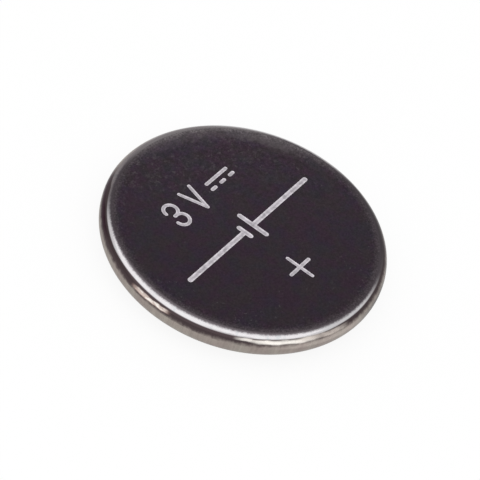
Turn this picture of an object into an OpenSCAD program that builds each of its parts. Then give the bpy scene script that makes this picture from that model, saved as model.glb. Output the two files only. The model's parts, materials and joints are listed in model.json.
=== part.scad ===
// Lithium coin cell, 12.5 x 1.6 mm.
// It rests on the flat of its negative cap, at z = 0. The positive face looks up, and its marks
// read along +X. Every piece but the marks is turned about the Z axis.

/* [Cell] */
// Outer diameter of the cell
cell_d = 12.5; // [12:0.1:16]
// Height over both contact faces
cell_h = 1.6; // [1.55:0.05:3.2]

/* [Positive can] */
// Sheet thickness of the can
can_t = 0.2; // [0.15:0.01:0.25]
// Outer radius of the drawn corner round the positive face
can_corner_r = 0.5; // [0.3:0.05:0.55]
// Outer radius of the crimp that curls in under the cell
crimp_r = 0.8; // [0.6:0.05:0.85]
// Flat run of the crimped edge past the end of its curl
crimp_reach = 0.15; // [0.05:0.05:0.3]

/* [Negative cap] */
// Sheet thickness of the cap
cap_t = 0.2; // [0.15:0.01:0.25]
// How far the cap stands out past the crimped edge
cap_proud = 0.2; // [0.1:0.05:0.25]
// Outer radius round the contact face of the cap
cap_corner_r = 0.25; // [0.25:0.01:0.3]
// Radius in the corner under the brim
brim_fillet_r = 0.1; // [0.05:0.01:0.12]

/* [Gasket] */
// Width of the gasket seen between the cap and the crimped edge
seal_gap = 0.3; // [0.2:0.05:0.5]
// Thickness of the gasket between the crimped edge and the brim
seal_under = 0.15; // [0.1:0.01:0.2]
// Thickness of the gasket between the brim's edge and the side of the can
seal_side = 0.4; // [0.35:0.05:0.5]
// Width of the brim that the gasket covers on the inside
seal_grip = 0.5; // [0.3:0.05:0.55]
// How far the gasket lies back from the outside of the crimped edge
seal_recess = 0.06; // [0.02:0.01:0.15]

/* [Electrodes] */
// Thickness of the lithium disc
anode_t = 0.3; // [0.15:0.01:0.4]
// Gap round the lithium disc inside the cap
anode_gap = 0.3; // [0.1:0.05:0.6]
// Thickness of the separator
separator_t = 0.1; // [0.05:0.01:0.15]
// Gap round the separator inside the cap
separator_gap = 0.1; // [0.05:0.01:0.2]
// Depth of the separator's upturned edge, over all
separator_h = 0.4; // [0.2:0.05:0.5]
// Sheet thickness of the cathode collector
collector_t = 0.08; // [0.05:0.01:0.1]
// Clear space between the collector's skirt and the edge of the separator
skirt_gap = 0.1; // [0.05:0.05:0.3]

/* [Face marks] */
// Depth of the engraved marks
mark_depth = 0.02; // [0.01:0.005:0.05]
// Length of each bar of the polarity cross
cross_w = 1.47; // [1:0.05:2]
// Width of the bars of the polarity cross
cross_stroke = 0.17; // [0.1:0.01:0.3]
// Distance of the polarity cross below the middle of the face
cross_drop = 2.9; // [2.4:0.1:3.6]
// Distance of the polarity cross to the left of the middle
cross_shift = 0.13; // [0:0.01:0.4]
// Height of the figures in the voltage rating
figure_h = 1.45; // [1:0.05:1.7]
// Stroke width of the voltage rating
figure_stroke = 0.17; // [0.08:0.01:0.22]
// Space between the signs of the voltage rating
figure_space = 0.5; // [0.3:0.05:0.7]
// Distance of the voltage rating above the middle of the face
rating_rise = 2.5; // [2:0.1:3]
// Overall width of the circuit symbol for a cell
symbol_w = 8.8; // [6:0.1:9.2]
// Height of the longer plate in the circuit symbol
symbol_h = 1.65; // [1.2:0.05:2]
// Height of the shorter plate in the circuit symbol
symbol_short_h = 0.85; // [0.6:0.05:1.1]
// Clear space between the two plates in the circuit symbol
symbol_gap = 0.36; // [0.3:0.02:0.6]
// Stroke width of the circuit symbol
symbol_stroke = 0.24; // [0.1:0.02:0.3]
// Distance of the circuit symbol below the middle of the face
symbol_drop = 0.1; // [0:0.05:0.4]

/* [Hidden] */
$fn = 96;

past = 1; // how far a cutter runs past what it cuts

// Can: the crimped edge ends at mouth_r, and the can is hollow between its edge and its roof
cell_r = cell_d / 2;
can_floor_z = cap_proud + can_t;
can_roof_z = cell_h - can_t;
mouth_r = cell_r - crimp_r - crimp_reach;

// Cap: its crown stands in the mouth, and its brim lies inside the can
crown_r = mouth_r - seal_gap;
crown_bore_r = crown_r - cap_t;
brim_z = can_floor_z + seal_under;
brim_top_z = brim_z + cap_t;
brim_r = cell_r - can_t - seal_side;

// Gasket
gasket_bore_r = brim_r - seal_grip;
gasket_z = cap_proud + seal_recess;

// Stack of discs between the cap and the roof of the can
anode_r = crown_bore_r - anode_gap;
separator_z = cap_t + anode_t;
separator_r = crown_bore_r - separator_gap;
pellet_z = separator_z + separator_t;
pellet_r = separator_r - separator_t;
separator_top_z = separator_z + separator_h;
collector_z = can_roof_z - collector_t;
skirt_z = separator_top_z + skirt_gap;

// Marks
figure_w = figure_h * 0.62;
supply_w = figure_h * 1.1; // width of the direct-current sign
supply_gap = figure_h / 4; // between the middles of its line and its dashes
supply_dashes = 3;

// Half outline from the axis out to r, between two heights, with the outer top corner rounded
module top_rounded(r, low, high, round_r) {
    translate([0, low]) square([r - round_r, high - low]);
    translate([0, low]) square([r, high - low - round_r]);
    translate([r - round_r, high - round_r]) circle(round_r);
}

// The same, with the outer bottom corner rounded
module bottom_rounded(r, low, high, round_r) {
    translate([0, low]) square([r - round_r, high - low]);
    translate([0, low + round_r]) square([r, high - low - round_r]);
    translate([r - round_r, low + round_r]) circle(round_r);
}

// Outline of the can lying a given depth inside its outer surface
module can_outline(inset) {
    r = cell_r - inset;
    low = cap_proud + inset;
    high = cell_h - inset;
    intersection() {
        top_rounded(r, low, high, can_corner_r - inset);
        bottom_rounded(r, low, high, crimp_r - inset);
    }
}

// Half section of the cap: crown, side, and brim with its corner
module cap_section() {
    bend_r = brim_fillet_r + cap_t;
    difference() {
        union() {
            bottom_rounded(crown_r, 0, brim_top_z, cap_corner_r);
            translate([0, brim_z]) square([brim_r, cap_t]);
            difference() {
                translate([crown_r - cap_t / 2, brim_z - brim_fillet_r])
                    square([brim_fillet_r + cap_t / 2, brim_fillet_r + cap_t / 2]);
                translate([crown_r + brim_fillet_r, brim_z - brim_fillet_r]) circle(brim_fillet_r);
            }
        }
        bottom_rounded(crown_bore_r, cap_t, brim_top_z + past, cap_corner_r - cap_t);
        difference() {
            translate([crown_bore_r - past, brim_top_z - bend_r]) square([bend_r + past, bend_r + past]);
            translate([crown_r + brim_fillet_r, brim_z - brim_fillet_r]) circle(bend_r);
        }
    }
}

// Straight stroke with round ends, between the middles of its ends
module stroke(from, to, w) {
    run = to - from;
    translate(from)
        rotate(atan2(run[1], run[0])) {
            translate([0, -w / 2]) square([norm(run), w]);
            circle(w / 2);
            translate([norm(run), 0]) circle(w / 2);
        }
}

// Level and upright strokes of a given overall length, centred on a point
module level_stroke(x, y, length, w) {
    reach = (length - w) / 2;
    stroke([x - reach, y], [x + reach, y], w);
}
module upright_stroke(x, y, length, w) {
    reach = (length - w) / 2;
    stroke([x, y - reach], [x, y + reach], w);
}

// Plus sign of the positive contact
module cross_mark() {
    level_stroke(-cross_shift, -cross_drop, cross_w, cross_stroke);
    upright_stroke(-cross_shift, -cross_drop, cross_w, cross_stroke);
}

// Figure three: two bowls, each without its quarter towards the waist on the left
module three(x, y) {
    bowl_r = (figure_h - figure_stroke) / 4;
    half = figure_stroke / 2;
    for (side = [-1, 1])
        translate([x, y + side * bowl_r]) {
            difference() {
                circle(bowl_r + half);
                circle(bowl_r - half);
                translate([-past, side > 0 ? -past : 0]) square(past);
            }
            translate([-bowl_r, 0]) circle(half);
        }
    stroke([x - bowl_r / 3, y], [x, y], figure_stroke);
}

// Letter V of the volt
module volt(x, y) {
    reach = (figure_h - figure_stroke) / 2;
    for (side = [-1, 1])
        stroke([x + side * (figure_w - figure_stroke) / 2, y + reach], [x, y - reach], figure_stroke);
}

// Direct-current sign: a full line over dashes
module supply(x, y) {
    step = supply_w / (2 * supply_dashes - 1);
    level_stroke(x, y + supply_gap / 2, supply_w, figure_stroke);
    for (i = [0 : supply_dashes - 1])
        level_stroke(x - supply_w / 2 + (2 * i + 0.5) * step, y - supply_gap / 2,
            step + figure_stroke / 2, figure_stroke);
}

// Voltage rating: 3 V of direct current
module rating_mark() {
    full_w = 2 * figure_w + supply_w + 2 * figure_space;
    three(-full_w / 2 + figure_w / 2, rating_rise);
    volt(-full_w / 2 + figure_w * 1.5 + figure_space, rating_rise);
    supply(full_w / 2 - supply_w / 2, rating_rise);
}

// Circuit symbol for one cell, its longer plate towards +X
module symbol_mark() {
    plate_x = (symbol_gap + symbol_stroke) / 2;
    lead_end = (symbol_w - symbol_stroke) / 2;
    for (side = [-1, 1]) {
        stroke([side * plate_x, -symbol_drop], [side * lead_end, -symbol_drop], symbol_stroke);
        upright_stroke(side * plate_x, -symbol_drop, side > 0 ? symbol_h : symbol_short_h,
            symbol_stroke);
    }
}

// Drawn cup with its edge crimped in, engraved on the outside of its roof
module positive_can() {
    color([0.24, 0.22, 0.24])
        difference() {
            rotate_extrude()
                difference() {
                    can_outline(0);
                    can_outline(can_t);
                    square([mouth_r, (can_floor_z + can_roof_z) / 2]);
                }
            translate([0, 0, cell_h - mark_depth])
                linear_extrude(past) {
                    cross_mark();
                    rating_mark();
                    symbol_mark();
                }
        }
}

// Pressed cap
module negative_cap() {
    color([0.72, 0.71, 0.70])
        rotate_extrude() cap_section();
}

// Moulded ring round the brim of the cap
module gasket() {
    color([0.16, 0.17, 0.18])
        rotate_extrude()
            difference() {
                union() {
                    intersection() {
                        can_outline(can_t);
                        translate([crown_r - cap_t / 2, 0]) square([cell_r, cell_h]);
                    }
                    translate([crown_r - cap_t / 2, gasket_z])
                        square([mouth_r - crown_r + cap_t / 2, brim_z - gasket_z]);
                }
                cap_section();
                translate([0, brim_z]) square([gasket_bore_r, cell_h]);
            }
}

// Lithium disc pressed into the cap
module lithium_anode() {
    color([0.78, 0.79, 0.80])
        translate([0, 0, cap_t]) cylinder(h = anode_t, r = anode_r);
}

// Dish that keeps the electrodes apart
module separator() {
    color([0.93, 0.93, 0.90])
        difference() {
            translate([0, 0, separator_z]) cylinder(h = separator_h, r = separator_r);
            translate([0, 0, pellet_z]) cylinder(h = separator_h, r = pellet_r);
        }
}

// Pressed tablet
module cathode_pellet() {
    color([0.10, 0.10, 0.11])
        translate([0, 0, pellet_z]) cylinder(h = collector_z - pellet_z, r = pellet_r);
}

// Pan that holds the tablet against the can
module cathode_collector() {
    color([0.65, 0.65, 0.66])
        difference() {
            translate([0, 0, skirt_z]) cylinder(h = can_roof_z - skirt_z, r = pellet_r + collector_t);
            translate([0, 0, skirt_z - past]) cylinder(h = collector_z - skirt_z + past, r = pellet_r);
        }
}

positive_can();
negative_cap();
gasket();
lithium_anode();
separator();
cathode_pellet();
cathode_collector();
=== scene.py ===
import json
from math import cos, pi, radians, sin, tau

import bmesh
import bpy
from mathutils import Matrix, Vector

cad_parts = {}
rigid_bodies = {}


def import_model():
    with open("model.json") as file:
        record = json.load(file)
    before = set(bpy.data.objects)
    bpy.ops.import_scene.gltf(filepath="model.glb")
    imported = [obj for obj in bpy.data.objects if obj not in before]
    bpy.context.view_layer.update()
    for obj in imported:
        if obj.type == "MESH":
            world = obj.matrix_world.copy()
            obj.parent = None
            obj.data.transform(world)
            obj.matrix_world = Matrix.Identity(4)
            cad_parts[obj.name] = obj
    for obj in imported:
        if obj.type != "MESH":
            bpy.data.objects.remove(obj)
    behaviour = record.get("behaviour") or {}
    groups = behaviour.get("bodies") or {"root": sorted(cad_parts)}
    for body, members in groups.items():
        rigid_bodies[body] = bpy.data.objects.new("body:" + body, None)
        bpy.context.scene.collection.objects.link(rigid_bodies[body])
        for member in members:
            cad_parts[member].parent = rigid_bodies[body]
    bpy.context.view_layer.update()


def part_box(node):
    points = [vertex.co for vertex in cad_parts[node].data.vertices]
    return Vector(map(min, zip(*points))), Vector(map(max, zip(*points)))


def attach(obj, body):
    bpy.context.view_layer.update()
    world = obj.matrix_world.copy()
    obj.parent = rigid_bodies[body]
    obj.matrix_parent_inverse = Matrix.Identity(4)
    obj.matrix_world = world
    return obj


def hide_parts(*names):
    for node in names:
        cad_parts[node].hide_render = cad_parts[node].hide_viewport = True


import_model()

mm = 0.001
aroundSteps = 256        # facets round a turned piece
arcSteps = 12            # facets in a rounded corner
merging = 1e-7           # points nearer than this become one
sharpAngle = 14          # degrees between two facets from which their edge stays sharp
ringRadius = 6.0         # of the ring, in millimetres, on which the patterns of a side are laid
noiseLow, noiseHigh = 0.3, 0.7           # nearly all of a noise lies between these
fullAlong, fullAcross = 0.4, 0.3         # share of a touch that has its whole strength


# Mesh helpers

def turnedBody(corners):
    # corners: (radius, height, rounding) in metres, along the cut half of a piece
    bm = bmesh.new()
    section = [bm.verts.new((radius, 0, height)) for radius, height, rounding in corners]
    bm.faces.new(section)
    for vert, (radius, height, rounding) in zip(section, corners):
        if rounding:
            bmesh.ops.bevel(bm, geom=[vert], offset=rounding, offset_type="OFFSET", affect="VERTICES",
                            segments=arcSteps, profile=0.5, material=-1)
    bmesh.ops.delete(bm, geom=bm.faces[:], context="FACES_ONLY")
    axisEdges = [edge for edge in bm.edges if max(abs(vert.co.x) for vert in edge.verts) < merging]
    bmesh.ops.delete(bm, geom=axisEdges, context="EDGES")
    bmesh.ops.spin(bm, geom=bm.verts[:] + bm.edges[:], cent=(0, 0, 0), axis=(0, 0, 1), dvec=(0, 0, 0),
                   angle=tau, steps=aroundSteps, use_merge=True, use_duplicate=False)
    bmesh.ops.remove_doubles(bm, verts=bm.verts[:], dist=merging)
    poles = [vert for vert in bm.verts if vert.co.xy.length < merging]
    bmesh.ops.dissolve_verts(bm, verts=poles)
    bmesh.ops.recalc_face_normals(bm, faces=bm.faces[:])
    return bm


def finishPiece(name, bm, material, node):
    mesh = bpy.data.meshes.new(name)
    bm.to_mesh(mesh)
    bm.free()
    piece = bpy.data.objects.new(name, mesh)
    bpy.context.collection.objects.link(piece)
    mesh.materials.append(material)
    mesh.shade_smooth()
    mesh.set_sharp_from_angle(angle=radians(sharpAngle))
    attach(piece, "root")
    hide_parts(node)
    return piece


# Shader helpers

def addNode(tree, kind, inputs=None, **settings):
    node = tree.nodes.new("ShaderNode" + kind)
    for key, value in settings.items():
        setattr(node, key, value)
    for key, value in (inputs or {}).items():
        if isinstance(value, bpy.types.NodeSocket):
            tree.links.new(value, node.inputs[key])
        else:
            node.inputs[key].default_value = value
    return node


def calc(tree, operation, first, second=0.0, third=0.0):
    return addNode(tree, "Math", {0: first, 1: second, 2: third}, operation=operation).outputs[0]


def rise(tree, value, start, end, low=0.0, high=1.0):
    ramp = addNode(tree, "MapRange", {"Value": value, "From Min": start, "From Max": end, "To Min": low,
                                      "To Max": high}, interpolation_type="SMOOTHSTEP")
    return ramp.outputs["Result"]


def mixColor(tree, share, under, over, blend="MIX"):
    # a Mix node's colour sockets are inputs 6 and 7 and output 2
    mix = addNode(tree, "Mix", data_type="RGBA", blend_type=blend)
    for socket, value in ((mix.inputs["Factor"], share), (mix.inputs[6], under), (mix.inputs[7], over)):
        if isinstance(value, bpy.types.NodeSocket):
            tree.links.new(value, socket)
        else:
            socket.default_value = (*value, 1.0) if isinstance(value, tuple) else value
    return mix.outputs[2]


def steps(tree, value, stops):
    # stops: (value, colour or grey level), straight lines between them
    start, end = stops[0][0], stops[-1][0]
    share = addNode(tree, "MapRange", {"Value": value, "From Min": start, "From Max": end}).outputs["Result"]
    ramp = addNode(tree, "ValToRGB", {"Fac": share})
    elements = ramp.color_ramp.elements
    while len(elements) < len(stops):
        elements.new(0.5)
    for element, (place, level) in zip(elements, stops):
        element.position = (place - start) / (end - start)
        element.color = (*level, 1.0) if isinstance(level, tuple) else (level, level, level, 1.0)
    return ramp.outputs["Color"]


def noise(tree, place, scale, detail=3.0, roughness=0.55, stretch=None):
    if stretch:
        place = addNode(tree, "VectorMath", {0: place, 1: stretch}, operation="MULTIPLY").outputs[0]
    return addNode(tree, "TexNoise", {"Vector": place, "Scale": scale, "Detail": detail,
                                      "Roughness": roughness}).outputs["Fac"]


def clouds(tree, place, start, full, *grain, low=0.0):
    # a mask that is low where the noise lies before start, and 1 past full
    return rise(tree, noise(tree, place, *grain), start, full, low, 1.0)


def shade(tree, color, place, darkest, lightest, *grain, share=1.0):
    # the colour, darkened and lightened by a noise
    tones = steps(tree, noise(tree, place, *grain), ((noiseLow, darkest), (noiseHigh, lightest)))
    return mixColor(tree, share, color, tones, "MULTIPLY")


def sway(tree, value, place, amount, *grain):
    # the value, moved up and down by a noise
    shift = rise(tree, noise(tree, place, *grain), noiseLow, noiseHigh, -amount, amount)
    return calc(tree, "ADD", value, shift)


def towards(tree, outward, azimuth):
    # 1 on the side of the piece that faces this azimuth, 0 a quarter turn away, -1 behind
    aim = (cos(radians(azimuth)), sin(radians(azimuth)), 0.0)
    return addNode(tree, "VectorMath", {0: outward, 1: aim}, operation="DOT_PRODUCT").outputs["Value"]


def touchMask(tree, outward, across, azimuth, reach, middle, width, strength):
    # a soft patch: reach degrees to each side of the azimuth, and width to each side of the middle
    along = rise(tree, towards(tree, outward, azimuth), cos(radians(reach)), cos(radians(reach * fullAlong)))
    off = calc(tree, "ABSOLUTE", calc(tree, "SUBTRACT", across, middle))
    return calc(tree, "MULTIPLY", along, rise(tree, off, width, width * fullAcross, 0.0, strength))


def addBump(tree, shader, height, strength, depth):
    bump = addNode(tree, "Bump", {"Height": height, "Strength": strength, "Distance": depth})
    tree.links.new(bump.outputs["Normal"], shader.inputs["Normal"])


def newGroup(name, inputs, outputs):
    group = bpy.data.node_groups.new(name, "ShaderNodeTree")
    for way, sockets in (("INPUT", inputs), ("OUTPUT", outputs)):
        for label, kind in sockets.items():
            group.interface.new_socket(name=label, in_out=way, socket_type="NodeSocket" + kind)
    return group, group.nodes.new("NodeGroupInput").outputs, group.nodes.new("NodeGroupOutput").inputs


def useGroup(tree, group, inputs):
    return addNode(tree, "Group", inputs, node_tree=group).outputs


def newMaterial(name, metallic=1.0):
    material = bpy.data.materials.new(name)
    material.use_nodes = True
    tree = material.node_tree
    shader = tree.nodes["Principled BSDF"]
    shader.inputs["Metallic"].default_value = metallic
    turned = useGroup(tree, turnedPlace, {"Place": addNode(tree, "TexCoord").outputs["Object"]})
    return material, tree, shader, turned


def makeTurnedPlace():
    # a point on a turned piece, in millimetres: its place, distance from the axis and height, the way out
    # from the axis there, and the place moved to a ring of one radius, so that patterns run up the side
    group, given, result = newGroup("turnedPlace", {"Place": "Vector"}, {
        "Place": "Vector", "Radius": "Float", "Height": "Float", "Outward": "Vector", "Ring": "Vector"})
    place = addNode(group, "VectorMath", {0: given["Place"], "Scale": 1 / mm}, operation="SCALE").outputs[0]
    x, y, z = addNode(group, "SeparateXYZ", {0: place}).outputs
    flat = addNode(group, "CombineXYZ", {0: x, 1: y, 2: 0.0}).outputs[0]
    radius = addNode(group, "VectorMath", {0: flat}, operation="LENGTH").outputs["Value"]
    outward = addNode(group, "VectorMath", {0: flat}, operation="NORMALIZE").outputs[0]
    ring = addNode(group, "VectorMath", {0: outward, "Scale": ringRadius}, operation="SCALE").outputs[0]
    lift = addNode(group, "CombineXYZ", {2: z}).outputs[0]
    lifted = addNode(group, "VectorMath", {0: ring, 1: lift}, operation="ADD").outputs[0]
    for label, socket in {"Place": place, "Radius": radius, "Height": z, "Outward": outward,
                          "Ring": lifted}.items():
        group.links.new(socket, result[label])
    return group


patterns = {
    "speckPeaks": (0.6, 0.75),       # the fine noise at which a speck starts and is full
    "speckAreas": (0.5, 0.8),        # the same for the wide noise, with the cover added
    "speckSpread": 0.13,             # scale of that wide noise as a share of the fine one's
    "lineSpread": 0.3,               # scale of the rolled lines as a share of the grain's
    "lineStretch": (0.08, 1.0, 1.0),
}


def makeSpecks():
    # small pale rubs and dust: the peaks of a fine noise, kept only where a wide noise allows
    group, given, result = newGroup("specks", {"Place": "Vector", "Scale": "Float", "Cover": "Float"},
                                    {"Mask": "Float"})
    fine = noise(group, given["Place"], given["Scale"], 2.0, 0.6)
    wideScale = calc(group, "MULTIPLY", given["Scale"], patterns["speckSpread"])
    wide = noise(group, given["Place"], wideScale, 2.0)
    allowed = rise(group, calc(group, "ADD", wide, given["Cover"]), *patterns["speckAreas"])
    peaks = rise(group, fine, *patterns["speckPeaks"])
    group.links.new(calc(group, "MULTIPLY", peaks, allowed), result["Mask"])
    return group


def makeGrain():
    # rolled sheet: an even grain with faint lines one way, as a height for bump
    group, given, result = newGroup("sheetGrain", {"Place": "Vector", "Scale": "Float", "Lines": "Float"},
                                    {"Height": "Float", "Tone": "Float"})
    grain = noise(group, given["Place"], given["Scale"], 4.0, 0.65)
    lineScale = calc(group, "MULTIPLY", given["Scale"], patterns["lineSpread"])
    lines = noise(group, given["Place"], lineScale, 4.0, 0.6, patterns["lineStretch"])
    mixed = addNode(group, "Mix", {"Factor": given["Lines"], "A": grain, "B": lines}).outputs[0]
    tone = addNode(group, "MapRange", {"Value": mixed, "From Min": noiseLow,
                                       "From Max": noiseHigh}).outputs["Result"]
    group.links.new(mixed, result["Height"])
    group.links.new(tone, result["Tone"])
    return group


def speckMask(tree, place, scale, cover, strength):
    mask = useGroup(tree, specks, {"Place": place, "Scale": scale, "Cover": cover})["Mask"]
    return calc(tree, "MULTIPLY", mask, strength)


def rolledSheet(tree, place, scale, lines):
    return useGroup(tree, sheetGrain, {"Place": place, "Scale": scale, "Lines": lines})


turnedPlace = makeTurnedPlace()
specks = makeSpecks()
sheetGrain = makeGrain()
print("shader groups ready")


# Positive can

can = {
    "sheet": 0.2 * mm,
    "cornerRadius": 0.5 * mm,
    "crimpRadius": 0.8 * mm,
    "crimpReach": 0.15 * mm,
    "lipRounding": 0.03 * mm,
    "faceRing": 0.15 * mm,           # flat ring between the engraved disc and the rounded corner

    # Azimuths are in degrees, tilts in degrees of the rounded corner (0 at the face, 90 at the side), and
    # places in millimetres. A noise is its scale, detail, roughness and stretch. Clouds are where they
    # start and are full, and a noise. A shade is its darkest and lightest factor, and a noise. A waver is
    # its amount, and a noise. A name with From says where a one-sided effect starts and is full, where 1
    # is its side and 0 a quarter turn away.

    # face: patches of two dark greys, tinted, lighter and more mottled towards the pale side. The dark greys
    # are a painted reflection of dark surroundings on the steel, and the lightening towards the pale side is
    # painted reflection too
    "paleSide": 45,
    "paleFrom": (0.5, 0.97),
    "faceGrey": (0.0364, 0.0301, 0.0357),
    "facePurple": (0.0388, 0.0260, 0.0393),
    "patches": (0.38, 0.62, 1.5, 3.0, 0.6),
    "tintWarm": (1.06, 0.98, 0.97),
    "tintCool": (0.95, 1.0, 1.05),
    "tints": (0.40, 0.64, 1.1, 3.0, 0.6, (1.0, -1.0, 1.0)),
    "lighter": ((-5.5, 0.96), (-2.0, 1.0), (2.0, 1.09), (4.2, 1.14), (5.2, 1.30)),
    "faceGrain": (0.82, 1.18, 11.0, 3.0),
    "mottle": (0.66, 1.36, 6.0, 5.0, 0.75),
    "mottled": (-1.0, 5.0),          # where the mottling starts and is full, towards the pale side
    "scuff": (0.100, 0.087, 0.094),
    "scuffSide": 68,
    "scuffed": (0.0, 4.5),           # the same for scuffs, towards their side
    "scuffing": 0.6,
    "scuffAreas": (0.36, 0.56, 0.9, 2.0),
    "scuffBetween": 0.35,            # share of the scuffs that is left between their areas
    "scuffs": (0.54, 0.67, 4.6, 4.0, 0.65),
    "speck": (0.15, 0.135, 0.14),
    "speckScale": 8.0,
    "speckStrength": 0.45,
    "speckOutwards": (3.0, 5.6, 0.0, 0.12),      # cover from one radius to another
    "speckPale": (0.0, 5.0, 0.0, 0.2),           # cover from one place to another towards the pale side

    # edge of the face: a thin lighter ring, on the pale side a wide and blotched one. Both rings and the
    # noisy lighter fringe at the edge are painted reflection
    "rimNear": (0.068, 0.056, 0.063),
    "rimFar": (0.150, 0.133, 0.139),
    "thinRing": (5.48, 5.82),
    "wideRing": ((5.0, 0.0), (5.25, 0.16), (5.55, 0.38), (5.70, 0.7), (5.75, 1.0)),
    "ringWaver": (0.12, 3.0, 5.0, 0.7),
    "fringe": ((0.36, 0.76), (0.5, 1.02), (0.64, 1.52)),
    "fringeNoise": (14.0, 2.0),
    "fringed": (5.1, 5.75),
    # a lighter patch near the edge of the face
    "edgePatch": (0.085, 0.073, 0.080),
    "edgePatchPlace": (28, 18, 5.42, 0.30, 0.7),     # azimuth, reach along the ring, radius, half width, strength

    # rounded corner: a dull bend, a painted highlight between its start and end tilts, then a dark band,
    # which is a painted reflection of dark surroundings
    "bendSide": 60,
    "bendDark": (0.079, 0.065, 0.075),
    "bendNear": (0.130, 0.111, 0.122),
    "bendFar": (0.240, 0.220, 0.225),
    "bendNearFrom": (0.3, 0.9),
    "bendFarFrom": (0.72, 0.95),
    "bendTilt": 13.0,
    "cornerWaver": (2.5, 10.0, 5.0, 0.7),
    "highlight": (0.69, 0.68, 0.69),
    "highlightDull": (0.103, 0.088, 0.094),
    "highlightDullFar": (0.255, 0.230, 0.235),
    "dullFarFrom": (0.3, 0.7),
    "highlightSide": -155,              # the corner's painted highlight is brightest on this side
    "highlightFrom": (0.02, 0.42),
    "sheenSide": 18,                 # and has a weaker painted sheen on this one
    "sheenFrom": (0.78, 0.99),
    "sheen": 0.6,
    "ticks": ((0.34, (0.84, 0.87, 0.88)), (0.44, (0.99, 0.96, 0.97)), (0.60, (1.0, 1.0, 1.0))),
    "tickNoise": (2.4, 4.0, 0.7, (1.0, 1.0, 0.5)),
    "highlightStart": 11.6,
    "highlightDelay": 3.2,              # how much later it starts where the painted highlight is brightest
    "delayFrom": (0.55, 0.95),
    "highlightLean": 1.5,               # and on leanSide
    "leanSide": 135,
    "highlightFade": 14.5,
    "highlightEnd": 29.2,
    "highlightEndSide": -163,
    "highlightSpread": 16.3,            # how much later it ends on that side
    "highlightWidening": ((0.14, 0.0), (0.5, 0.42), (0.65, 0.76), (0.88, 0.8), (1.0, 1.0)),
    "highlightFar": 40,                 # where it ends on bendSide
    "highlightEdge": (-4.0, 2.8),
    "band": (0.070, 0.051, 0.054),
    "bandSide": 176,
    "bandEnd": 44,
    "bandSpread": 28,                # how much later it ends on that side
    "bandFirst": 38,
    "bandFade": 30.0,
    "bandWaver": (6.0, 4.0, 4.0, 0.65, (1.0, 1.0, 0.7)),
    "sideFade": 0.01,                # height over which the corner gives way to the side
    "faceFade": (0.006, 0.001),      # depths between which the face gives way to the corner
    "cornerRoughness": ((0.0, 0.38), (18.0, 0.16), (50.0, 0.16), (60.0, 0.24), (90.0, 0.34)),

    # side: lines of the drawing die up the wall, darker towards the bottom as painted shade under the curl
    "side": (0.345, 0.302, 0.280),
    "sideLow": (0.22, 0.195, 0.180),
    "sideClear": 0.5,                # height at which the wall has its full tone
    "drawnLines": (0.84, 1.08, 1.0, 4.0, 0.6, (7.0, 7.0, 0.5)),
    "wallPatches": ((0.89, 0.84, 0.84), (1.07, 1.11, 1.06), 1.7, 4.0, 0.6, (1.0, 1.0, 0.5)),
    "sideRoughness": 0.38,
    "faceRoughness": 0.42,
    "glancing": (0.80, 0.80, 0.80),  # how much of its glare the steel keeps where it is seen edge on
    "rolledGrain": 22.0,
    "rolledLines": 0.3,
    "relief": 0.004 * mm,
    "reliefStrength": 0.25,

    # touches along the corner and side, which are painted glints and painted dark reflections: azimuth, reach
    # along it, tilt, half width in tilt, strength, share torn away, colour
    "touches": (
        (175, 10.5, 67.0, 13.0, 0.85, 0.25, "glintPink"), (175, 9.5, 66.0, 12.0, 1.0, 0.6, "glint"),
        (-140, 10, 54.0, 10.0, 0.7, 0.2, "glint"), (-128, 15, 55.5, 15.5, 1.0, 0.12, "glint"),
        (-112, 14, 53.0, 14.5, 0.6, 0.2, "glintSoft"), (-112, 26, 84.0, 22.0, 0.17, 0.2, "glintSoft"),
        (-142, 22, 43.0, 6.0, 0.35, 0.2, "band"), (-60, 36, 90.0, 36.0, 0.9, 0.1, "darkReflection"),
        (-34, 34, 26.0, 19.0, 0.5, 0.1, "shade"), (120, 26, 56.0, 18.0, 1.0, 0.1, "maroon"),
        (4, 38, 44.0, 20.0, 0.24, 0.1, "glintSoft"), (4, 24, 44.0, 14.0, 0.3, 0.1, "glint"),
        (84, 26, 52.0, 18.0, 0.27, 0.1, "glintSoft")),
    "touchWaver": (2.2, 1.8, 2.0, 0.5),
    "torn": (0.58, 0.44, 3.4, 3.0, 0.6, (1.0, 1.0, 2.0)),
    # painted glint colours
    "glint": (1.0, 0.95, 0.89),
    "glintSoft": (0.98, 0.87, 0.79),
    "glintPink": (0.72, 0.49, 0.41),
    # painted dark reflection colours
    "darkReflection": (0.060, 0.049, 0.049),
    "shade": (0.022, 0.018, 0.020),
    "maroon": (0.032, 0.012, 0.020),
}

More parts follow.
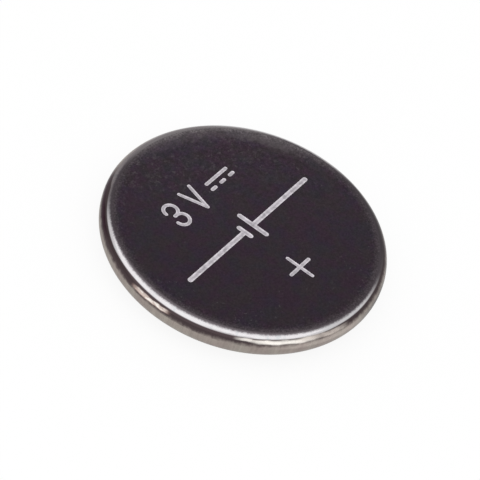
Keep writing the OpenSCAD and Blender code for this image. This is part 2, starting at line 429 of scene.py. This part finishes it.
marks = {
    "depth": 0.02 * mm,
    "crossWidth": 1.47 * mm,
    "crossStroke": 0.17 * mm,
    "crossShift": -0.13 * mm,
    "crossDrop": 2.9 * mm,
    "figureHeight": 1.45 * mm,
    "figureShape": 0.62,             # width of a figure as a share of its height
    "figureStroke": 0.17 * mm,
    "figureSpace": 0.5 * mm,
    "ratingRise": 2.5 * mm,
    "supplyShape": 1.1,              # the same for the direct-current sign
    "supplyDashes": 3,
    "symbolWidth": 8.8 * mm,
    "longPlate": 1.65 * mm,
    "shortPlate": 0.85 * mm,
    "plateGap": 0.36 * mm,
    "symbolStroke": 0.24 * mm,
    "symbolDrop": 0.1 * mm,
    "bendSteps": 48,                 # facets along a bowl of the figure
    "rodFacets": 96,                 # and round the rods that cut the marks

    "paint": (0.640, 0.605, 0.640),
    "floor": (0.440, 0.410, 0.445),  # greyer at the bottom of the groove: painted shade
    "pitted": (0.72, 1.28, 4.5, 3.0, 0.6),
    "edge": (0.0002, 0.0014),        # depth in millimetres at which the paint starts and is full
    "below": (1.5, 1.2),             # and where it stops, as shares of the marks' depth
    "greying": 0.5,                  # share of that depth below which the paint turns to the floor's grey
    "discFade": 0.02,                # how far inside the disc's edge the paint is full, in millimetres
    "roughness": 0.6,
    "metallic": 0.4,
}

canLow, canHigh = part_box("positive_can")
cellRadius = canHigh.x
faceHeight = canHigh.z
roofHeight = faceHeight - can["sheet"]
boreRadius = cellRadius - can["sheet"]
mouthRadius = cellRadius - can["crimpRadius"] - can["crimpReach"]
lipHeight = canLow.z
discRadius = cellRadius - can["cornerRadius"] - can["faceRing"]


def rodSection(stroke):
    # radius of the round rod that leaves a groove of this width at the marks' depth
    return (stroke * stroke / 4 + marks["depth"] ** 2) / (2 * marks["depth"])


def halfBall(bm, place, heading, radius):
    # half a ball whose open ring faces along the heading
    around = marks["rodFacets"]
    ballMesh = bmesh.ops.create_uvsphere(bm, u_segments=around, v_segments=around // 4, radius=radius)
    verts = ballMesh["verts"]
    bmesh.ops.rotate(bm, verts=verts, cent=(0, 0, 0), matrix=Matrix.Rotation(radians(90), 3, "Y"))
    bmesh.ops.delete(bm, geom=[vert for vert in verts if vert.co.x > merging], context="VERTS")
    verts = [vert for vert in verts if vert.is_valid]
    bmesh.ops.transform(bm, verts=verts, matrix=Matrix.Translation(place) @ Matrix.Rotation(heading, 4, "Z"))
    return [edge for edge in {edge for vert in verts for edge in vert.link_edges} if edge.is_boundary]


def rodCutter(start, stroke, route):
    # a round-ended rod from start along the route, whose parts are ("line", heading, length)
    # or ("arc", heading, radius, turn)
    radius = rodSection(stroke)
    bm = bmesh.new()
    place = Vector((start[0], start[1], faceHeight + radius - marks["depth"]))
    ring = halfBall(bm, place, route[0][1], radius)
    for part in route:
        heading = part[1]
        if part[0] == "line":
            shift = Vector((cos(heading), sin(heading), 0)) * part[2]
            grown = bmesh.ops.extrude_edge_only(bm, edges=ring)["geom"]
            moved = [item for item in grown if isinstance(item, bmesh.types.BMVert)]
            bmesh.ops.translate(bm, verts=moved, vec=shift)
            ring = [item for item in grown if isinstance(item, bmesh.types.BMEdge) and item.is_boundary]
            place = place + shift
        else:
            bend, turn = part[2], part[3]
            side = 1 if turn > 0 else -1
            centre = place + Vector((-sin(heading), cos(heading), 0)) * bend * side
            grown = bmesh.ops.spin(bm, geom=ring, cent=centre, axis=(0, 0, 1), dvec=(0, 0, 0), angle=turn,
                                   steps=marks["bendSteps"], use_merge=False, use_duplicate=False)
            ring = [item for item in grown["geom_last"] if isinstance(item, bmesh.types.BMEdge)]
            place = centre + Matrix.Rotation(turn, 3, "Z") @ (place - centre)
            heading = heading + turn
    halfBall(bm, place, heading + radians(180), radius)
    bmesh.ops.remove_doubles(bm, verts=bm.verts[:], dist=merging)
    bmesh.ops.recalc_face_normals(bm, faces=bm.faces[:])
    return bm


def strokeCutter(start, end, stroke):
    run = Vector(end) - Vector(start)
    heading = Vector((1, 0)).angle_signed(run, 0) * -1
    return rodCutter(start, stroke, [("line", heading, run.length)])


def levelCutter(x, y, length, stroke):
    reach = (length - stroke) / 2
    return strokeCutter((x - reach, y), (x + reach, y), stroke)


def uprightCutter(x, y, length, stroke):
    reach = (length - stroke) / 2
    return strokeCutter((x, y - reach), (x, y + reach), stroke)


def crossCutters():
    x, y, stroke = marks["crossShift"], -marks["crossDrop"], marks["crossStroke"]
    return [levelCutter(x, y, marks["crossWidth"], stroke), uprightCutter(x, y, marks["crossWidth"], stroke)]


def threeCutters(x, y):
    # two bowls, each without its quarter towards the waist on the left, and a short bar between them
    stroke = marks["figureStroke"]
    bowl = (marks["figureHeight"] - stroke) / 4
    bar = bowl / 3
    upper = rodCutter((x - bowl, y + bowl), stroke, [("arc", radians(90), bowl, radians(-270)),
                                                     ("line", radians(180), bar)])
    lower = rodCutter((x - bowl, y - bowl), stroke, [("arc", radians(-90), bowl, radians(270))])
    return [upper, lower]


def voltCutters(x, y, width):
    stroke = marks["figureStroke"]
    reach = (marks["figureHeight"] - stroke) / 2
    half = (width - stroke) / 2
    return [strokeCutter((x + side * half, y + reach), (x, y - reach), stroke) for side in (-1, 1)]


def supplyCutters(x, y, width):
    # direct-current sign: a full line over dashes, a quarter of the figure's height apart
    stroke, dashes, gap = marks["figureStroke"], marks["supplyDashes"], marks["figureHeight"] / 4
    pitch = width / (2 * dashes - 1)
    below = [levelCutter(x - width / 2 + (2 * i + 0.5) * pitch, y - gap / 2, pitch + stroke / 2, stroke)
             for i in range(dashes)]
    return [levelCutter(x, y + gap / 2, width, stroke)] + below


def ratingCutters():
    figure = marks["figureShape"] * marks["figureHeight"]
    supply = marks["supplyShape"] * marks["figureHeight"]
    space = marks["figureSpace"]
    left, y = -(2 * figure + supply + 2 * space) / 2, marks["ratingRise"]
    return (threeCutters(left + figure / 2, y) + voltCutters(left + figure * 1.5 + space, y, figure)
            + supplyCutters(-left - supply / 2, y, supply))


def symbolCutters():
    # circuit symbol for one cell, its longer plate towards +X
    stroke, y = marks["symbolStroke"], -marks["symbolDrop"]
    plate = (marks["plateGap"] + stroke) / 2
    lead = (marks["symbolWidth"] - stroke) / 2
    cutters = []
    for side, height in ((-1, marks["shortPlate"]), (1, marks["longPlate"])):
        cutters.append(strokeCutter((side * plate, y), (side * lead, y), stroke))
        cutters.append(uprightCutter(side * plate, y, height, stroke))
    return cutters


def engrave(piece, cutters):
    tools = bpy.data.collections.new("engravingTools")
    for number, bm in enumerate(cutters):
        mesh = bpy.data.meshes.new(f"tool{number}")
        bm.to_mesh(mesh)
        bm.free()
        tools.objects.link(bpy.data.objects.new(mesh.name, mesh))
    cut = piece.modifiers.new("engraving", "BOOLEAN")
    cut.operation, cut.operand_type, cut.collection, cut.solver = "DIFFERENCE", "COLLECTION", tools, "EXACT"
    bpy.context.view_layer.update()
    graph = bpy.context.evaluated_depsgraph_get()
    engraved = bpy.data.meshes.new_from_object(piece.evaluated_get(graph))
    piece.modifiers.remove(cut)
    plain, piece.data = piece.data, engraved
    bpy.data.meshes.remove(plain)
    for tool in list(tools.objects):
        bpy.data.meshes.remove(tool.data)
    bpy.data.collections.remove(tools)


def cornerTilt(tree, radius, height):
    # tilt of the rounded corner in degrees: 0 where it leaves the face, 90 where it meets the side
    out = calc(tree, "SUBTRACT", radius, (cellRadius - can["cornerRadius"]) / mm)
    up = calc(tree, "SUBTRACT", height, (faceHeight - can["cornerRadius"]) / mm)
    return calc(tree, "DEGREES", calc(tree, "ARCTAN2", out, up))


def canFace(tree, place, radius, outward, pale, rimColor):
    farther = towards(tree, place, can["paleSide"])      # millimetres from the axis towards the pale side
    # the dark greys are a painted reflection of dark surroundings on the steel face
    face = mixColor(tree, clouds(tree, place, *can["patches"]), can["faceGrey"], can["facePurple"])
    tint = mixColor(tree, clouds(tree, place, *can["tints"]), can["tintWarm"], can["tintCool"])
    face = mixColor(tree, 1.0, face, tint, "MULTIPLY")
    # lighter towards the pale side: painted reflection
    face = mixColor(tree, 1.0, face, steps(tree, farther, can["lighter"]), "MULTIPLY")
    face = shade(tree, face, place, *can["faceGrain"])
    face = shade(tree, face, place, *can["mottle"], share=rise(tree, farther, *can["mottled"]))

    scuffed = rise(tree, towards(tree, place, can["scuffSide"]), *can["scuffed"], 0.0, can["scuffing"])
    areas = clouds(tree, place, *can["scuffAreas"], low=can["scuffBetween"])
    scuffed = calc(tree, "MULTIPLY", scuffed, areas)
    scuffs = clouds(tree, place, *can["scuffs"])
    face = mixColor(tree, calc(tree, "MULTIPLY", scuffs, scuffed), face, can["scuff"])

    ringPlace = sway(tree, radius, place, *can["ringWaver"])
    # a lighter patch near the edge of the face
    edgePatch = touchMask(tree, outward, ringPlace, *can["edgePatchPlace"])
    face = mixColor(tree, edgePatch, face, can["edgePatch"])
    # a lighter ring at the edge of the face, wider on the pale side, and a noisy lighter fringe: painted
    # reflection
    thinRing = rise(tree, radius, *can["thinRing"])
    wideRing = steps(tree, ringPlace, can["wideRing"])
    face = mixColor(tree, mixColor(tree, pale, thinRing, wideRing), face, rimColor)
    fringe = steps(tree, noise(tree, place, *can["fringeNoise"]), can["fringe"])
    face = mixColor(tree, rise(tree, radius, *can["fringed"]), face, fringe, "MULTIPLY")

    outer = rise(tree, radius, *can["speckOutwards"])
    cover = calc(tree, "MAXIMUM", outer, rise(tree, farther, *can["speckPale"]))
    speck = speckMask(tree, place, can["speckScale"], cover, can["speckStrength"])
    return mixColor(tree, speck, face, can["speck"])


def canWall(tree, ring, height):
    # darker towards the bottom: painted shade under the curl
    wall = steps(tree, height, ((lipHeight / mm, can["sideLow"]), (can["sideClear"], can["side"])))
    wall = shade(tree, wall, ring, *can["drawnLines"])
    return shade(tree, wall, ring, *can["wallPatches"])


def canCorner(tree, place, ring, outward, tilt, below, rimColor, wall):
    wornAndHighlit = towards(tree, outward, can["highlightSide"])
    paler = towards(tree, outward, can["bendSide"])
    wavering = sway(tree, tilt, place, *can["cornerWaver"])

    # the bend next to the face, painted lighter towards the highlight's side and lighter still towards
    # bendSide, as painted reflection
    bend = mixColor(tree, rise(tree, wornAndHighlit, *can["bendNearFrom"]), can["bendDark"], can["bendNear"])
    bend = mixColor(tree, rise(tree, paler, *can["bendFarFrom"]), bend, can["bendFar"])
    corner = mixColor(tree, rise(tree, wavering, 0.0, can["bendTilt"]), rimColor, bend)

    # the painted highlight, with a painted sheen on another side, and where it starts
    dullFar = rise(tree, paler, *can["dullFarFrom"])
    dull = mixColor(tree, dullFar, can["highlightDull"], can["highlightDullFar"])
    sheen = rise(tree, towards(tree, outward, can["sheenSide"]), *can["sheenFrom"], 0.0, can["sheen"])
    bright = calc(tree, "MAXIMUM", rise(tree, wornAndHighlit, *can["highlightFrom"]), sheen)
    highlighted = mixColor(tree, bright, dull, can["highlight"])
    ticks = steps(tree, noise(tree, ring, *can["tickNoise"]), can["ticks"])
    highlighted = mixColor(tree, 1.0, highlighted, ticks, "MULTIPLY")
    first, last = can["highlightStart"], can["highlightStart"] + can["highlightDelay"]
    start = rise(tree, wornAndHighlit, *can["delayFrom"], first, last)
    start = calc(tree, "MULTIPLY_ADD", towards(tree, outward, can["leanSide"]), can["highlightLean"], start)
    begun = rise(tree, calc(tree, "SUBTRACT", wavering, start), 0.0, can["highlightFade"])
    corner = mixColor(tree, begun, corner, highlighted)

    # the dark band, a painted reflection of dark surroundings, from the end of the painted highlight
    wide = calc(tree, "ABSOLUTE", towards(tree, outward, can["highlightEndSide"]))
    spread = steps(tree, wide, can["highlightWidening"])
    end = calc(tree, "MULTIPLY_ADD", spread, can["highlightSpread"], can["highlightEnd"])
    end = calc(tree, "MAXIMUM", end, calc(tree, "MULTIPLY", dullFar, can["highlightFar"]))
    ended = rise(tree, calc(tree, "SUBTRACT", tilt, end), *can["highlightEdge"])
    corner = mixColor(tree, ended, corner, can["band"])

    # and the side from the end of the band
    bandSide = towards(tree, outward, can["bandSide"])
    bandEnd = calc(tree, "MULTIPLY_ADD", bandSide, can["bandSpread"], can["bandEnd"])
    bandEnd = calc(tree, "MAXIMUM", bandEnd, can["bandFirst"])
    frayed = sway(tree, tilt, ring, *can["bandWaver"])
    onSide = rise(tree, calc(tree, "SUBTRACT", frayed, bandEnd), 0.0, can["bandFade"])
    return mixColor(tree, calc(tree, "MAXIMUM", onSide, below), corner, wall)


def addTouches(tree, color, ring, outward, tilt):
    # painted glints and painted dark reflections along the corner and side
    wavering = sway(tree, tilt, ring, *can["touchWaver"])
    torn = clouds(tree, ring, *can["torn"])
    for azimuth, reach, middle, width, strength, tear, tone in can["touches"]:
        touch = touchMask(tree, outward, wavering, azimuth, reach, middle, width, strength)
        kept = calc(tree, "MULTIPLY_ADD", torn, -tear, 1.0)
        color = mixColor(tree, calc(tree, "MULTIPLY", touch, kept), color, can[tone])
    return color


def markPaint(tree, place, radius, height):
    # the mask and the colour of what lies below the face in the marks
    sunk = calc(tree, "SUBTRACT", faceHeight / mm, height)
    deep = marks["depth"] / mm
    mask = rise(tree, radius, discRadius / mm, discRadius / mm - marks["discFade"])
    mask = calc(tree, "MULTIPLY", mask, rise(tree, sunk, *marks["edge"]))
    last, first = marks["below"]
    mask = calc(tree, "MULTIPLY", mask, rise(tree, sunk, deep * last, deep * first))
    # greyer towards the bottom of the groove: painted shade
    paint = steps(tree, sunk, ((deep * marks["greying"], marks["paint"]), (deep, marks["floor"])))
    return mask, shade(tree, paint, place, *marks["pitted"])


def canSteel():
    material, tree, shader, turned = newMaterial("canSteel")
    place, radius, height, outward, ring = turned
    top = faceHeight / mm
    cornerFoot = (faceHeight - can["cornerRadius"]) / mm
    outerDepth, faceDepth = can["faceFade"]
    tilt = cornerTilt(tree, radius, height)
    below = rise(tree, height, cornerFoot, cornerFoot - can["sideFade"])
    onFace = rise(tree, height, top - outerDepth, top - faceDepth)
    pale = rise(tree, towards(tree, outward, can["paleSide"]), *can["paleFrom"])
    # colour of the lighter ring at the face's edge, lighter on the pale side: painted reflection
    rimColor = mixColor(tree, pale, can["rimNear"], can["rimFar"])

    face = canFace(tree, place, radius, outward, pale, rimColor)
    wall = canWall(tree, ring, height)
    outer = canCorner(tree, place, ring, outward, tilt, below, rimColor, wall)
    outer = addTouches(tree, outer, ring, outward, tilt)
    mark, markColor = markPaint(tree, place, radius, height)
    color = mixColor(tree, mark, mixColor(tree, onFace, outer, face), markColor)
    tree.links.new(color, shader.inputs["Base Color"])
    shader.inputs["Specular Tint"].default_value = (*can["glancing"], 1.0)

    rough = steps(tree, tilt, can["cornerRoughness"])
    rough = mixColor(tree, below, rough, (can["sideRoughness"],) * 3)
    rough = mixColor(tree, onFace, rough, (can["faceRoughness"],) * 3)
    rough = mixColor(tree, mark, rough, (marks["roughness"],) * 3)
    tree.links.new(rough, shader.inputs["Roughness"])
    metal = calc(tree, "MULTIPLY_ADD", mark, marks["metallic"] - 1.0, 1.0)
    tree.links.new(metal, shader.inputs["Metallic"])
    rolled = rolledSheet(tree, place, can["rolledGrain"], can["rolledLines"])
    addBump(tree, shader, rolled["Height"], can["reliefStrength"], can["relief"])
    return material


canBody = turnedBody([
    (0, faceHeight, 0),
    (discRadius, faceHeight, 0),
    (cellRadius, faceHeight, can["cornerRadius"]),
    (cellRadius, lipHeight, can["crimpRadius"]),
    (mouthRadius, lipHeight, can["lipRounding"]),
    (mouthRadius, lipHeight + can["sheet"], can["lipRounding"]),
    (boreRadius, lipHeight + can["sheet"], can["crimpRadius"] - can["sheet"]),
    (boreRadius, roofHeight, can["cornerRadius"] - can["sheet"]),
    (0, roofHeight, 0)])
canPiece = finishPiece("canShell", canBody, canSteel(), "positive_can")
engrave(canPiece, crossCutters() + ratingCutters() + symbolCutters())
canPiece.data.set_sharp_from_angle(angle=radians(sharpAngle))
print("positive can ready,", len(canPiece.data.polygons), "faces")


# Negative cap

cap = {
    "sheet": 0.2 * mm,
    "cornerRadius": 0.25 * mm,
    "brimWidth": 0.65 * mm,
    "brimHeight": 0.55 * mm,
    "bendRadius": 0.1 * mm,
    "edgeRounding": 0.04 * mm,
    "steel": (0.64, 0.62, 0.60),
    "dull": (0.53, 0.51, 0.49),
    "wornAndHighlit": (0.74, 0.72, 0.70),
    "wornArea": (3.2, 4.9, 0.0, 0.5),            # from one radius in millimetres to another
    "wear": (0.35, 0.65, 0.9, 5.0, 0.6),         # clouds, as on the can
    "rolledGrain": 14.0,
    "rolledLines": 0.65,
    "speckScale": 7.0,
    "speckCover": 0.05,
    "speckStrength": 0.6,
    "roughness": ((0.0, 0.40), (1.0, 0.28)),
    "relief": 0.006 * mm,
    "reliefStrength": 0.35,
}

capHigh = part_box("negative_cap")[1]
brimRadius = capHigh.x
crownRadius = brimRadius - cap["brimWidth"]
brimTop = capHigh.z


def capSteel():
    material, tree, shader, turned = newMaterial("capSteel")
    place, radius = turned["Place"], turned["Radius"]
    rolled = rolledSheet(tree, place, cap["rolledGrain"], cap["rolledLines"])
    color = mixColor(tree, rolled["Tone"], cap["dull"], cap["steel"])
    touched = calc(tree, "MULTIPLY", rise(tree, radius, *cap["wornArea"]), clouds(tree, place, *cap["wear"]))
    color = mixColor(tree, touched, color, cap["wornAndHighlit"])
    speck = speckMask(tree, place, cap["speckScale"], cap["speckCover"], cap["speckStrength"])
    color = mixColor(tree, speck, color, cap["wornAndHighlit"])
    tree.links.new(color, shader.inputs["Base Color"])
    tree.links.new(steps(tree, rolled["Tone"], cap["roughness"]), shader.inputs["Roughness"])
    addBump(tree, shader, rolled["Height"], cap["reliefStrength"], cap["relief"])
    return material


capBody = turnedBody([
    (0, 0, 0),
    (crownRadius, 0, cap["cornerRadius"]),
    (crownRadius, cap["brimHeight"], cap["bendRadius"]),
    (brimRadius, cap["brimHeight"], cap["edgeRounding"]),
    (brimRadius, brimTop, cap["edgeRounding"]),
    (crownRadius - cap["sheet"], brimTop, cap["bendRadius"] + cap["sheet"]),
    (crownRadius - cap["sheet"], cap["sheet"], cap["cornerRadius"] - cap["sheet"]),
    (0, cap["sheet"], 0)])
finishPiece("capShell", capBody, capSteel(), "negative_cap")
print("negative cap ready")


# Gasket between the two

gasket = {
    "grip": 0.15 * mm,
    "edgeRounding": 0.03 * mm,
    "plastic": (0.035, 0.035, 0.038),
    "chalky": (0.075, 0.075, 0.08),
    "bloom": (3.0, 4.0),
    "chalked": (0.40, 0.70),
    "roughness": ((noiseLow, 0.42), (noiseHigh, 0.58)),
    "mouldGrain": (30.0, 3.0),
    "relief": 0.004 * mm,
    "reliefStrength": 0.3,
}

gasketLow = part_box("gasket")[0]


def sealPlastic():
    material, tree, shader, turned = newMaterial("sealPlastic", 0.0)
    place = turned["Place"]
    bloom = noise(tree, place, *gasket["bloom"])
    color = mixColor(tree, rise(tree, bloom, *gasket["chalked"]), gasket["plastic"], gasket["chalky"])
    tree.links.new(color, shader.inputs["Base Color"])
    tree.links.new(steps(tree, bloom, gasket["roughness"]), shader.inputs["Roughness"])
    mould = noise(tree, place, *gasket["mouldGrain"])
    addBump(tree, shader, mould, gasket["reliefStrength"], gasket["relief"])
    return material


gasketBody = turnedBody([
    (crownRadius, gasketLow.z, gasket["edgeRounding"]),
    (mouthRadius, gasketLow.z, gasket["edgeRounding"]),
    (mouthRadius, lipHeight + can["sheet"], 0),
    (boreRadius, lipHeight + can["sheet"], can["crimpRadius"] - can["sheet"]),
    (boreRadius, roofHeight, can["cornerRadius"] - can["sheet"]),
    (crownRadius + gasket["grip"], roofHeight, 0),
    (crownRadius + gasket["grip"], brimTop, 0),
    (brimRadius, brimTop, 0),
    (brimRadius, cap["brimHeight"], 0),
    (crownRadius, cap["brimHeight"], cap["bendRadius"])])
finishPiece("sealRing", gasketBody, sealPlastic(), "gasket")
print("gasket ready")


# What the cell holds inside: each piece has two colours and roughnesses, and its grain goes from one
# to the other

inside = {"speckScale": 0.5, "speckCover": 0.08, "speckStrength": 0.4, "reliefStrength": 0.5}


def insideMaterial(name, look):
    material, tree, shader, turned = newMaterial(name, look["metallic"])
    place = turned["Place"]
    grain = rolledSheet(tree, place, look["grain"], look["lines"])
    color = mixColor(tree, grain["Tone"], *look["colors"])
    speckScale = look["grain"] * inside["speckScale"]
    speck = speckMask(tree, place, speckScale, inside["speckCover"], inside["speckStrength"])
    color = mixColor(tree, speck, color, look["colors"][0])
    tree.links.new(color, shader.inputs["Base Color"])
    first, second = look["roughness"]
    tree.links.new(steps(tree, grain["Tone"], ((0.0, first), (1.0, second))), shader.inputs["Roughness"])
    addBump(tree, shader, grain["Height"], inside["reliefStrength"], look["relief"])
    return material


anode = {
    "edgeRounding": 0.05 * mm,
    "colors": ((0.42, 0.42, 0.45), (0.70, 0.71, 0.73)),
    "metallic": 1.0,
    "grain": 6.0,
    "lines": 0.2,
    "roughness": (0.6, 0.45),
    "relief": 0.01 * mm,
}

anodeLow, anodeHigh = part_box("lithium_anode")
anodeBody = turnedBody([
    (0, anodeLow.z, 0),
    (anodeHigh.x, anodeLow.z, anode["edgeRounding"]),
    (anodeHigh.x, anodeHigh.z, anode["edgeRounding"]),
    (0, anodeHigh.z, 0)])
lithiumMetal = insideMaterial("lithiumMetal", anode)
finishPiece("anodeDisc", anodeBody, lithiumMetal, "lithium_anode")

separator = {
    "sheet": 0.1 * mm,
    "colors": ((0.70, 0.70, 0.67), (0.90, 0.90, 0.87)),
    "metallic": 0.0,
    "grain": 18.0,
    "lines": 0.5,
    "roughness": (0.95, 0.85),
    "relief": 0.015 * mm,
}

separatorLow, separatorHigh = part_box("separator")
dishRadius = separatorHigh.x - separator["sheet"]
dishFloor = separatorLow.z + separator["sheet"]
separatorBody = turnedBody([
    (0, separatorLow.z, 0),
    (separatorHigh.x, separatorLow.z, 0),
    (separatorHigh.x, separatorHigh.z, 0),
    (dishRadius, separatorHigh.z, 0),
    (dishRadius, dishFloor, 0),
    (0, dishFloor, 0)])
separatorFibre = insideMaterial("separatorFibre", separator)
finishPiece("separatorDish", separatorBody, separatorFibre, "separator")

pellet = {
    "colors": ((0.10, 0.10, 0.11), (0.030, 0.030, 0.033)),
    "metallic": 0.0,
    "grain": 12.0,
    "lines": 0.0,
    "roughness": (0.9, 0.75),
    "relief": 0.012 * mm,
}

pelletLow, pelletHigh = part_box("cathode_pellet")
pelletBody = turnedBody([
    (0, pelletLow.z, 0),
    (pelletHigh.x, pelletLow.z, 0),
    (pelletHigh.x, pelletHigh.z, 0),
    (0, pelletHigh.z, 0)])
pressedOxide = insideMaterial("pressedOxide", pellet)
finishPiece("cathodeDisc", pelletBody, pressedOxide, "cathode_pellet")

collector = {
    "sheet": 0.08 * mm,
    "colors": ((0.44, 0.44, 0.45), (0.58, 0.58, 0.59)),
    "metallic": 1.0,
    "grain": 10.0,
    "lines": 0.8,
    "roughness": (0.4, 0.28),
    "relief": 0.004 * mm,
}

collectorLow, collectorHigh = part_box("cathode_collector")
panRadius = collectorHigh.x - collector["sheet"]
panRoof = collectorHigh.z - collector["sheet"]
collectorBody = turnedBody([
    (0, collectorHigh.z, 0),
    (collectorHigh.x, collectorHigh.z, 0),
    (collectorHigh.x, collectorLow.z, 0),
    (panRadius, collectorLow.z, 0),
    (panRadius, panRoof, 0),
    (0, panRoof, 0)])
collectorSteel = insideMaterial("collectorSteel", collector)
finishPiece("collectorPan", collectorBody, collectorSteel, "cathode_collector")
print("inner pieces ready")


# Floor, lamps and camera

studio = {
    "floorRadius": 3.0,
    "floorFacets": 96,
    "floorGap": 0.004 * mm,         # keeps the floor and the cap's flat from sharing one plane
    "floor": (0.95, 0.95, 0.95),
    "floorGlow": 0.88,              # share of plain white that a look at the floor sees
    "horizon": (0.74, 0.74, 0.74),
    "zenith": (0.84, 0.84, 0.84),
    "panelDistance": 200 * mm,
    # soft panels: azimuth, elevation, width, height, and brightness of the face, where 1 is white
    "panels": {
        "overheadPanel": (-176, 62, 480 * mm, 480 * mm, 0.42),
        "lowPanel": (-113, 11, 110 * mm, 70 * mm, 0.30),
    },
}

camera = {
    "distance": 120 * mm,
    "azimuth": -158.4,
    "elevation": 45.15,
    "roll": 19.42,
    "lens": 211.3,                  # focal length and sensor width in millimetres
    "sensor": 36,
    "clip": (1 * mm, 10),
    "aim": (0.210 * mm, 0.193 * mm, 0.464 * mm),
}


def direction(azimuth, elevation):
    azimuth, elevation = radians(azimuth), radians(elevation)
    return Vector((cos(azimuth) * cos(elevation), sin(azimuth) * cos(elevation), sin(elevation)))


def layFloor():
    bm = bmesh.new()
    bmesh.ops.create_circle(bm, cap_ends=True, segments=studio["floorFacets"],
                            radius=studio["floorRadius"])
    bmesh.ops.translate(bm, verts=bm.verts[:], vec=(0, 0, -studio["floorGap"]))
    bm.normal_update()
    mesh = bpy.data.meshes.new("floor")
    bm.to_mesh(mesh)
    bm.free()
    floor = bpy.data.objects.new("floor", mesh)
    bpy.context.collection.objects.link(floor)

    material = bpy.data.materials.new("paleFloor")
    material.use_nodes = True
    tree = material.node_tree
    tree.nodes.remove(tree.nodes["Principled BSDF"])
    matt = addNode(tree, "BsdfDiffuse", {"Color": (*studio["floor"], 1.0)})
    white = addNode(tree, "Emission", {"Color": (1.0, 1.0, 1.0, 1.0), "Strength": 1.0})
    path = addNode(tree, "LightPath").outputs
    seen = calc(tree, "MAXIMUM", calc(tree, "MAXIMUM", path["Is Camera Ray"], path["Is Glossy Ray"]),
                path["Is Transmission Ray"])
    mix = addNode(tree, "MixShader", {0: calc(tree, "MULTIPLY", seen, studio["floorGlow"]),
                                      1: matt.outputs[0], 2: white.outputs[0]})
    clear = addNode(tree, "BsdfTransparent").outputs[0]      # from below, so that the underside can be seen
    oneWay = addNode(tree, "MixShader", {0: addNode(tree, "NewGeometry").outputs["Backfacing"],
                                         1: mix.outputs[0], 2: clear})
    tree.links.new(oneWay.outputs[0], tree.nodes["Material Output"].inputs["Surface"])
    mesh.materials.append(material)


def lightWorld():
    world = bpy.data.worlds.new("studioAir")
    world.use_nodes = True
    bpy.context.scene.world = world
    tree = world.node_tree
    heading = addNode(tree, "TexCoord").outputs["Generated"]
    up = addNode(tree, "SeparateXYZ", {0: heading}).outputs["Z"]
    sky = steps(tree, up, ((0.0, studio["horizon"]), (1.0, studio["zenith"])))
    tree.links.new(sky, tree.nodes["Background"].inputs["Color"])


def hangPanel(name, azimuth, elevation, width, height, light):
    lamp = bpy.data.lights.new(name, "AREA")
    lamp.shape, lamp.size, lamp.size_y = "RECTANGLE", width, height
    lamp.energy = light * pi * width * height            # watts that give its face this brightness
    panel = bpy.data.objects.new(name, lamp)
    away = direction(azimuth, elevation)
    panel.location = away * studio["panelDistance"]
    panel.rotation_euler = away.to_track_quat("Z", "Y").to_euler()
    panel.visible_camera = False
    bpy.context.collection.objects.link(panel)


def placeCamera():
    lens = bpy.data.cameras.new("camera")
    lens.lens, lens.sensor_width = camera["lens"], camera["sensor"]
    lens.clip_start, lens.clip_end = camera["clip"]
    viewer = bpy.data.objects.new("camera", lens)
    back = direction(camera["azimuth"], camera["elevation"])
    turn = back.to_track_quat("Z", "Y").to_matrix() @ Matrix.Rotation(radians(camera["roll"]), 3, "Z")
    place = Vector(camera["aim"]) + back * camera["distance"]
    viewer.matrix_world = Matrix.Translation(place) @ turn.to_4x4()
    bpy.context.collection.objects.link(viewer)
    bpy.context.scene.camera = viewer


layFloor()
lightWorld()
for name, settings in studio["panels"].items():
    hangPanel(name, *settings)
placeCamera()
bpy.context.scene.view_settings.view_transform = "Standard"
print("studio ready")
